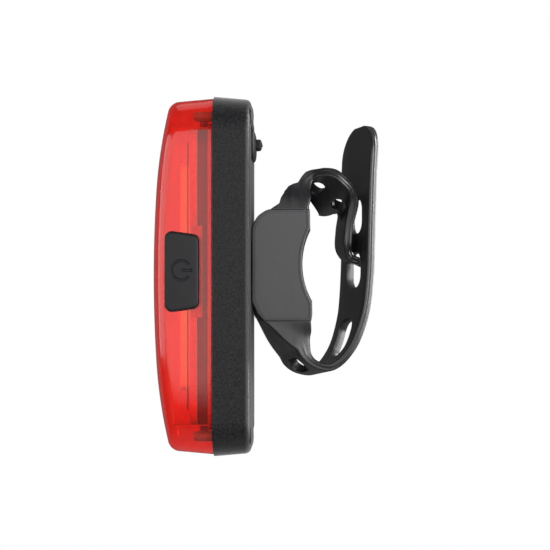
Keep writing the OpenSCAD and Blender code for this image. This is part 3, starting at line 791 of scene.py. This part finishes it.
@dataclass
class PortFlap:
    """The rubber flap over the charging port, with its pull tab."""

    rear_x: float = -10.4
    low_z: float = 21.85
    hinge_z: float = 27.2
    half_w: float = 5.8
    lap: float = 0.4
    corner_r: float = 1.8
    crown: tuple[Point, ...] = (
        (-0.75, 0.0), (0.0, 0.0), (0.35, 0.05), (0.55, 0.3), (0.68, 0.8), (0.76, 1.5), (0.8, 2.4))
    tab_z: float = 24.7
    tab_h: float = 2.0
    tab_half_w: float = 3.0
    tab_reach: float = 2.1
    tab_slant: float = 0.3
    ribs: int = 5
    rib: tuple[Point, ...] = ((-0.1, -0.15), (0.12, -0.15), (0.12, 0.15), (-0.1, 0.15))
    rib_half_w: float = 0.2
    rib_sunk: float = 0.1
    plug: tuple[float, float, float] = (3.65, 1.25, 0.7)
    plug_x: Point = (-1.55, -0.7)
    plug_z: float = 24.6

    def build(self, shop: Workshop) -> None:
        """Make the crowned flap, its plug, its tab and the tab's ribs."""
        mid = (self.low_z + self.hinge_z) / 2
        half_h = (self.hinge_z - self.low_z) / 2
        rings = []
        for x, inset in self.crown:
            radius = max(self.corner_r - inset, 0.2)
            loop = rounded_rect(self.half_w - inset, half_h + self.lap - inset, radius, 8, 6)
            rings.append([(self.rear_x + x, y, z + mid) for y, z in loop])
        flap = loft("port_flap", rings)
        shop.place(flap, SOFT_RUBBER, Body.COVER, "port_cover")
        low, high = self.tab_z - self.tab_h / 2, self.tab_z + self.tab_h / 2
        out = self.rear_x + self.tab_reach
        side = [(self.rear_x, low), (out - self.tab_slant, low), (out, high), (self.rear_x, high)]
        side = rounded_loop(side, [0, 0.6, 0.5, 0])
        tab = prism("pull_tab", side, Axis.Y, -self.tab_half_w, self.tab_half_w)
        soften(tab, 0.3)
        shop.place(tab, SOFT_RUBBER, Body.COVER)
        section = rounded_loop(self.rib, [0, 0.1, 0.1, 0])
        rib = prism("tab_ribs", section, Axis.Y, -self.rib_half_w, self.rib_half_w)
        step = 2 * self.tab_half_w / (self.ribs + 1)
        first = (out - self.rib_sunk, step - self.tab_half_w, self.tab_z)
        shop.grid.repeat(rib, shop.material(SOFT_RUBBER), first, (0, step, 0), self.ribs)
        shop.place(rib, SOFT_RUBBER, Body.COVER)
        low, high = (self.rear_x + x for x in self.plug_x)
        plug = prism("port_plug", rounded_rect(*self.plug), Axis.X, low, high)
        plug.data.transform(Matrix.Translation((0, 0, self.plug_z * MM)))
        shop.place(plug, SOFT_RUBBER, Body.COVER)


@dataclass
class LightEngine:
    """Screws, diodes and flutes, repeated by the grid tree, and a dark strip along the tray that is painted
    shade.
    """

    screw_y: float = 8.5
    screw_z: float = 32.3
    head_x: float = -11
    screw: tuple[Point, ...] = (
        (-10.9, 0.6), (-10.4, 1.0), (-1.2, 1.0), (-1.2, 1.7), (-0.35, 1.7), (-0.12, 1.53), (0.0, 1.02))
    arm: Point = (0.2, 0.95)
    arm_x: Point = (-0.8, 0.5)
    centre_z: float = -2.6
    board_x: float = -21.1
    guide_x: float = -24.75
    guide_y: float = -4.5
    guide_h: float = 45.0
    flute_r: Point = (0.12, 0.22)
    flute_taper: float = 0.4
    flute_pitch: float = 0.55
    flute_count: int = 4
    # A dark strip where the guide meets the tray: painted shade for the shadow in that corner.
    shade_strip: Point = (-23.0, -9.6)
    shade_strip_h: float = 54.0
    shade_strip_r: Point = (0.1, 0.16)
    shade_strip_taper: float = 0.5
    led: tuple[tuple[float, float, float], ...] = (
        (0.0, 1.4, 1.75), (-0.6, 1.4, 1.75), (-0.68, 1.3, 1.65), (-0.85, 0.9, 1.2), (-0.9, 0.4, 0.6))
    led_pitch: float = 5.425
    led_count: int = 8

    @staticmethod
    def rod(name: str, centre: Sequence[float], height: float, radii: Point, taper: float) -> Piece:
        """Make an upright rod with tapered ends.

        Args:
            name: the object's name.
            centre: its middle.
            height: its height.
            radii: the radius at its ends and between them.
            taper: the length of each tapered end.

        Returns:
            The new object.
        """
        x, y, z = centre
        half = height / 2
        end, body = radii
        levels = ((-half, end), (taper - half, body), (half - taper, body), (half, end))
        return loft(name, [[(x + u, y + v, z + level) for u, v in circle(r, 12)] for level, r in levels])

    def screws(self, shop: Workshop) -> None:
        """Make the four recessed pan-head screws."""
        screw = loft("corner_screws", [[(x, *point) for point in circle(r, 32)] for x, r in self.screw])
        arms = [prism("arm", rounded_rect(*half, 0.08, 2), Axis.X, *self.arm_x)
                for half in (self.arm, self.arm[::-1])]
        cut(screw, *arms)
        shop.grid.repeat(screw, shop.material(ZINC_FLAKE),
                         (self.head_x, -self.screw_y, self.centre_z - self.screw_z),
                         (0, 2 * self.screw_y, 0), 2, (0, 0, 2 * self.screw_z), 2)
        tidy(screw, 35)
        shop.place(screw, ZINC_FLAKE, Body.LIGHT, "housing_screws")

    def diodes(self, shop: Workshop) -> None:
        """Make the row of diodes with their domes."""
        rings = [[(x, y, z) for y, z in rounded_rect(w, h, 0.2, 4)] for x, w, h in self.led]
        diode = loft("diode_row", rings)
        low = self.centre_z - self.led_pitch * (self.led_count - 1) / 2
        shop.grid.repeat(diode, shop.material(DIODE), (self.board_x, 0, low),
                         (0, 0, self.led_pitch), self.led_count)
        shop.place(diode, DIODE, Body.LIGHT, "leds")

    def flutes(self, shop: Workshop) -> None:
        """Make the upright flutes on the near side of the light guide, which glow as painted light, and the
        dark strip along the tray that is painted shade.
        """
        flute = self.rod("guide_flutes", (0, 0, 0), self.guide_h, self.flute_r, self.flute_taper)
        first = (self.guide_x, self.guide_y, self.centre_z)
        shop.grid.repeat(flute, shop.material(GLOWING_FLUTE), first, (self.flute_pitch, 0, 0), self.flute_count)
        shop.place(flute, GLOWING_FLUTE, Body.LIGHT)
        # The strip is painted shade: dark rubber laid in the corner between guide and tray.
        shade_strip = self.rod("tray_shade_strip", (*self.shade_strip, self.centre_z), self.shade_strip_h, self.shade_strip_r, self.shade_strip_taper)
        shop.place(shade_strip, SOFT_RUBBER, Body.LIGHT)


# Mount


@dataclass
class Band:
    """A rubber band swept through rows of (x, z, thickness, width, lean_x, lean_z)."""

    rows: np.ndarray
    tail_r: float
    steps: int = 8
    tail_steps: int = 14
    settle: float = 2.0
    edge_r: float = 0.35
    flash: float = 0.1
    flash_w: float = 0.22
    slot_r: float = 2.5
    slot_reach: float = 5.0

    def row(self, s: float) -> np.ndarray:
        """Return the smooth row at row number s."""
        last = len(self.rows) - 1
        i = int(min(math.floor(s), last - 1))
        t = s - i
        a, b, c, d = (self.rows[min(max(k, 0), last)] for k in (i - 1, i, i + 1, i + 2))
        return (2 * b + (c - a) * t + (2 * a - 5 * b + 4 * c - d) * t ** 2
                + (3 * b - a - 3 * c + d) * t ** 3) / 2

    def centre(self, s: float) -> Vector:
        """Return the centre of the band at row number s."""
        row = self.row(s)
        return Vector((row[0], 0.0, row[1]))

    def frame_at(self, s: float) -> tuple[Vector, Vector, Vector]:
        """Return the directions along, across and out of the band at row number s."""
        row = self.row(s)
        across = Vector((row[4], math.sqrt(1 - row[4] ** 2 - row[5] ** 2), row[5]))
        last = len(self.rows) - 1
        path = (self.centre(min(s + 0.02, last)) - self.centre(max(s - 0.02, 0))).normalized()
        rise = Vector((0, 0, math.copysign(1, self.rows[1][1] - self.rows[0][1])))
        k = min(s / self.settle, 1.0)
        k *= k * (3 - 2 * k)
        run = ((1 - k) * rise + k * path).normalized()
        level = rise.cross(Vector((0, 1, 0)))
        out = ((1 - k) * level + k * run.cross(across).normalized()).normalized()
        return across.cross(out), across, out

    def half_width(self, s: float) -> float:
        """Return half the width, with round corners at the tail."""
        half = self.row(s)[3] / 2
        left = (self.centre(len(self.rows) - 1) - self.centre(s)).length + 0.1
        if s < len(self.rows) - 2.5 or left >= self.tail_r:
            return half
        return half - self.tail_r + math.sqrt(self.tail_r ** 2 - (self.tail_r - left) ** 2)

    def ring(self, s: float) -> Ring:
        """Return the band's rounded section at row number s, with the mould's ridge where it is thin."""
        _, across, out = self.frame_at(s)
        middle, half, thick = self.centre(s), self.half_width(s), self.row(s)[2] / 2
        radius = min(self.edge_r, 0.8 * thick)
        flash = self.flash * min(max(2 - thick, 0), 1)
        points: Ring = []
        for u, v in rounded_rect(half, thick, radius, 5, 10):
            if abs(u) > half - 1e-6:
                u += math.copysign(flash * max(1 - abs(v) / self.flash_w, 0), u)
            points.append(tuple(middle + u * across + v * out))
        return points

    def mesh(self, name: str) -> Piece:
        """Sweep the whole band.

        Args:
            name: the object's name.

        Returns:
            The new object.
        """
        last = len(self.rows) - 1
        stops = [k / self.steps for k in range(self.steps * (last - 1))]
        for k in range(self.tail_steps + 1):
            stops.append(last - 1 + math.sin(math.pi / 2 * k / self.tail_steps))
        return loft(name, [self.ring(s) for s in stops])

    def slot(self, s: float, length: float, width: float, aside: float = 0.0) -> Piece:
        """Make the cutter of a slot that is square to the band.

        Args:
            s: row number of its middle.
            length: its length along the band.
            width: its width across the band.
            aside: its distance from the band's middle.

        Returns:
            The cutter.
        """
        along, across, out = self.frame_at(s)
        middle = self.centre(s) + aside * across
        loop = rounded_rect(length / 2, width / 2, min(self.slot_r, min(length, width) / 2 - 0.05), 10)
        rings = [[tuple(middle + u * along + v * across + h * out) for u, v in loop]
                 for h in (-self.slot_reach, self.slot_reach)]
        return loft("slot", rings)


@dataclass
class RubberMount:
    """Saddle, hook tongue and slotted strap."""

    seat_r: float = 16.0
    seat_z: Point = (-7.85, 7.15)
    half_w: float = 8.0
    back: tuple[Point, ...] = ((1.6, 11.1), (-6.9, 11.1), (-9, 9.8), (-10.2, 7.6))
    back_r: tuple[float, ...] = (0, 3, 4, 4)
    corner: tuple[Point, ...] = ((-10.2, -11.7),)
    near_corner: tuple[Point, ...] = ((-10.2, -7.5), (-9, -10.2), (-7.7, -11.7))
    far_corner: tuple[Point, ...] = ((-10.2, -10.9), (-9.8, -11.7))
    nose: tuple[Point, Point] = ((1.9, -11.7), (2.1, -10.3))
    groove: Point = (0.5, 0.75)
    groove_depth: float = 0.25
    wedge: tuple[Point, ...] = ((-4.5, 8.2), (-1.3, 1.5), (0, 0), (0.9, -1), (-12, -1), (-12, 8.2))
    wedge_foot: tuple[float, float, float] = (-8.79, 0, -11.7)
    root_lean: float = 0.136
    strap_rows: tuple[tuple[float, ...], ...] = (
        (-4, -11.7, 9.6, 16, -0.136, 0), (-2.95, -14.7, 6.7, 16, -0.2, -0.08),
        (-1.8, -17.7, 3.5, 16, -0.24, -0.14), (-1.05, -19.75, 2.3, 16, -0.25, -0.15),
        (0.6, -21.3, 1.7, 16, -0.24, -0.14), (3.3, -22, 1.6, 16, -0.23, -0.12),
        (5.3, -21.2, 1.6, 16, -0.25, -0.11), (7.3, -19, 1.6, 16, -0.27, -0.1),
        (9, -15.9, 1.6, 16, -0.29, -0.1), (10.4, -11.3, 1.6, 16, -0.31, -0.09),
        (11, -7.4, 1.6, 16, -0.32, -0.08), (11.4, -1.7, 1.6, 16, -0.33, -0.08),
        (11.55, 4.2, 1.6, 16, -0.33, -0.07), (11.7, 12.4, 1.6, 16, -0.34, -0.06),
        (11.9, 21.3, 1.6, 16, -0.36, -0.05), (12.6, 28.3, 1.6, 16, -0.37, -0.05))
    tongue_rows: tuple[tuple[float, ...], ...] = (
        (-2.55, 11.1, 7.7, 16, 0, 0), (-1.9, 13, 6.4, 15, -0.08, -0.08),
        (-1.5, 14.3, 4.6, 13.2, -0.15, -0.17), (0.35, 16.45, 2.3, 11.5, -0.23, -0.28),
        (2.1, 16.2, 2.2, 14, -0.28, -0.37), (4.2, 15.2, 2.1, 16, -0.3, -0.42),
        (6.6, 13.9, 2.1, 15, -0.3, -0.4), (8.7, 13.1, 2.1, 12, -0.29, -0.32),
        (9.5, 11.4, 2, 9.6, -0.26, -0.22), (8.8, 7.4, 1.8, 8.2, -0.25, -0.1),
        (8.6, 3.6, 1.8, 7.7, -0.24, -0.09), (9.5, 1.3, 1.7, 5.4, -0.2, -0.05),
        (11.4, 0.6, 1.5, 5, -0.15, 0), (12.8, -0.2, 1.4, 5, -0.15, 0))
    slots: tuple[tuple[float, ...], ...] = (
        (8.05, 8.4, 8), (11.06, 7.3, 8), (12.7, 7.2, 8), (3.5, 4.2, 9.5))
    pad_slots: tuple[tuple[float, ...], ...] = ((4.5, 2.6, 5, -1.5), (6.8, 3.6, 4.6, 0.6))
    bend: tuple[tuple[float, ...], tuple[float, ...]] = ((0.4, 0, -21.6), (6.2, 0, -21.6))
    steps: tuple[Point, ...] = (
        (-10, 8.65), (-4.6, 12.3), (-4.3, 13.4), (-3.6, 14.7), (-2.7, 15.9), (-1.7, 16.4), (-0.67, 16.75),
        (-0.23, 17.5), (0.35, 18.4), (0.95, 19), (1.4, 20.5), (-4, 22), (-12, 16))
    steps_y: float = -6.5
    steps_span: Point = (-11, 11.5)
    lean_from: float = 13.4
    lean_rate: float = 0.05
    lean_over: float = 0.85
    notch: tuple[Point, ...] = ((1.45, 13.7), (2.6, 12.1), (3.35, 10.85), (3.7, 9.6), (3, 8.5), (1.33, 8.5))
    notch_y: Point = (2.0, 12.0)

    def saddle_loop(self, corner: Sequence[Point]) -> Loop:
        """Return the block's outline as (x, z), with the given points at its lower rear corner."""
        seat = [(self.seat_r - math.sqrt(self.seat_r ** 2 - z * z), z) for z in np.linspace(*self.seat_z, 40)]
        tip, top = self.nose
        back = rounded_loop([*self.back, *corner, tip], [*self.back_r, *[0] * len(corner), 0])
        return seat + back + [top]

    def rim(self, corner: Sequence[Point], low: float, high: float) -> Piece:
        """Make the cutter of the fine groove inside the block's edge.

        Args:
            corner: points of the outline's lower rear corner.
            low: where the cutter starts along Y.
            high: where it ends.

        Returns:
            The cutter.
        """
        loop = self.saddle_loop(corner)
        groove, core = (prism(name, inset_loop(loop, depth), Axis.Y, low - grow, high + grow)
                        for name, depth, grow in zip(("groove", "core"), self.groove, (0, 1)))
        cut(groove, core)
        return groove

    def saddle(self, shop: Workshop) -> None:
        """Make the block with the round tube seat."""
        block = prism("saddle", self.saddle_loop(self.corner), Axis.Y, -self.half_w, self.half_w)
        wedge = prism("wedge", self.wedge, Axis.Y, -20, 20)
        lean = Matrix.Rotation(math.asin(self.root_lean), 4, "Z")
        wedge.data.transform(Matrix.Translation(Vector(self.wedge_foot) * MM) @ lean)
        cut(block, wedge)
        soften(block, 0.55, 4, 40)
        inner, outer = self.half_w - self.groove_depth, self.half_w + 0.3
        cut(block, self.rim(self.near_corner, -outer, -inner), self.rim(self.far_corner, inner, outer))
        tidy(block, 40)
        # The saddle's finish is partly painted light on its near face.
        shop.place(block, LIT_SADDLE_RUBBER, Body.MOUNT, "saddle_block")

    def stepper(self) -> Piece:
        """Make the cutter that steps the outer side of the tongue's root.

        Returns:
            The cutter, which leans more towards its top as the band does.
        """
        rings = []
        for y in self.steps_span:
            shift = y - self.steps_y
            leans = [(x, z, self.lean_rate * min(max(z - self.lean_from, 0), 6)) for x, z in self.steps]
            rings.append([(x - self.lean_over * lean * shift, y, z - lean * shift) for x, z, lean in leans])
        return loft("stepper", rings)

    def tongue(self, shop: Workshop) -> None:
        """Make the arched tongue with its slotted pad and hook tip."""
        band = Band(np.array(self.tongue_rows, float), settle=3.5, tail_r=2.2)
        piece = band.mesh("tongue")
        notch = prism("notch", self.notch, Axis.Y, *self.notch_y)
        cut(piece, self.stepper(), notch, *[band.slot(*slot) for slot in self.pad_slots])
        soften(piece, 0.3, 2, 42)
        shop.place(piece, MOUNT_RUBBER, Body.MOUNT, "hook_tongue")

    def strap(self, shop: Workshop) -> None:
        """Make the strap with its root as one piece of rubber."""
        band = Band(np.array(self.strap_rows, float), tail_r=6.5)
        piece = band.mesh("slotted_strap")
        cut(piece, *[band.slot(*slot) for slot in self.slots])
        soften(piece, 0.25, 2, 42)
        piece.data.materials.clear()
        piece.data.materials.append(shop.material(MOUNT_RUBBER))
        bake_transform(piece)
        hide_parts("strap_root", "strap")
        LOG.info("%s bends between %s and %s", piece.name, Body.MOUNT.value, Body.STRAP.value)


# Studio


@dataclass(frozen=True)
class Lamp:
    """A soft box: its place and size in millimetres and its power in watts."""

    name: str
    place: tuple[float, float, float]
    size: Point
    power: float


@dataclass
class Studio:
    """Camera, lamps, white surroundings and a pale floor."""

    aim: tuple[float, float, float] = (-5.667, 0.0, -2.29)
    distance: float = 300.0
    yaw: float = 1.5
    span: float = 114.58
    sensor: float = 36.0
    floor_z: float = -300.0
    floor_half: float = 420.0
    paper: float = 0.2
    ambient: float = 0.35
    mirror: float = 0.12
    lamps: tuple[Lamp, ...] = (
        Lamp("front", (-90, -340, 37), (520, 186), 0.55),
        Lamp("left", (-340, -40, 30), (420, 170), 0.5),
        Lamp("right", (300, -260, 30), (220, 320), 2.0),
        Lamp("top", (-60, 160, 420), (260, 260), 0.15),
        Lamp("rim", (330, 60, 60), (120, 420), 4.5))

    def camera(self) -> None:
        """Stand the camera where the photograph was taken."""
        turn = math.radians(self.yaw)
        data = bpy.data.cameras.new("camera")
        data.sensor_width = self.sensor
        data.lens = self.sensor * self.distance / self.span
        data.clip_start = 0.01
        camera = bpy.data.objects.new("camera", data)
        away = Vector((math.sin(turn), -math.cos(turn), 0))
        camera.location = (Vector(self.aim) + self.distance * away) * MM
        camera.rotation_euler = (math.pi / 2, 0, turn)
        bpy.context.scene.collection.objects.link(camera)
        bpy.context.scene.camera = camera

    def hang(self, lamp: Lamp) -> None:
        """Hang a soft box that faces the object."""
        data = bpy.data.lights.new(lamp.name, "AREA")
        data.shape = "RECTANGLE"
        data.size = lamp.size[0] * MM
        data.size_y = lamp.size[1] * MM
        data.energy = lamp.power
        box = bpy.data.objects.new(lamp.name, data)
        box.location = Vector(lamp.place) * MM
        box.rotation_euler = (Vector(self.aim) - Vector(lamp.place)).to_track_quat("-Z", "Y").to_euler()
        bpy.context.scene.collection.objects.link(box)

    def surroundings(self) -> None:
        """Set the world's level for each kind of ray."""
        world = bpy.data.worlds.new("white_room")
        bpy.context.scene.world = world
        world.use_nodes = True
        tree = world.node_tree
        backdrop = tree.nodes["Background"]
        backdrop.inputs["Color"].default_value = (1, 1, 1, 1)
        rays = tree.nodes.new("ShaderNodeLightPath")
        level: bpy.types.NodeSocket | None = None
        levels = {"Is Glossy Ray": self.mirror, "Is Transmission Ray": 1.0, "Is Camera Ray": 1.0}
        for label, value in levels.items():
            mix = tree.nodes.new("ShaderNodeMix")
            mix.inputs["A"].default_value = self.ambient
            mix.inputs["B"].default_value = value
            link(tree, rays.outputs[label], mix.inputs["Factor"])
            if level:
                link(tree, level, mix.inputs["A"])
            level = mix.outputs["Result"]
        link(tree, level, backdrop.inputs["Strength"])

    def sheet(self, name: str, corners: Sequence[Sequence[float]]) -> None:
        """Lay a sheet of paper that the camera sees as white.

        Args:
            name: the sheet's name.
            corners: its corners, in millimetres.
        """
        piece = make_piece(name, corners, [(0, 1, 2, 3)])
        paper = bpy.data.materials.new(name)
        paper.use_nodes = True
        shader = paper.node_tree.nodes["Principled BSDF"]
        shader.inputs["Base Color"].default_value = (*[self.paper] * 3, 1)
        shader.inputs["Roughness"].default_value = 0.9
        rays = paper.node_tree.nodes.new("ShaderNodeLightPath")
        shader.inputs["Emission Color"].default_value = (1, 1, 1, 1)
        link(paper.node_tree, rays.outputs["Is Camera Ray"], shader.inputs["Emission Strength"])
        piece.data.materials.append(paper)

    def build(self) -> None:
        """Set up the whole studio."""
        bpy.context.scene.view_settings.view_transform = "Standard"
        self.camera()
        self.surroundings()
        half = self.floor_half
        corners = ((-half, -half), (half, -half), (half, half), (-half, half))
        self.sheet("floor", [(*corner, self.floor_z) for corner in corners])
        for lamp in self.lamps:
            self.hang(lamp)


def main() -> None:
    """Build the light piece by piece."""
    logging.basicConfig(level=logging.INFO, format="%(name)s: %(message)s")
    Studio().build()
    shop = Workshop()
    shop.dress_nodes()
    pad = PowerPad()
    pad.build(shop)
    RedLens().build(shop, pad.outline(0.15))
    PortFlap().build(shop)
    engine = LightEngine()
    mount = RubberMount()
    steps: list[Callable[[Workshop], None]] = [
        engine.screws, engine.diodes, engine.flutes, mount.saddle, mount.tongue, mount.strap]
    for step in steps:
        step(shop)


if __name__ == "__main__":
    main()
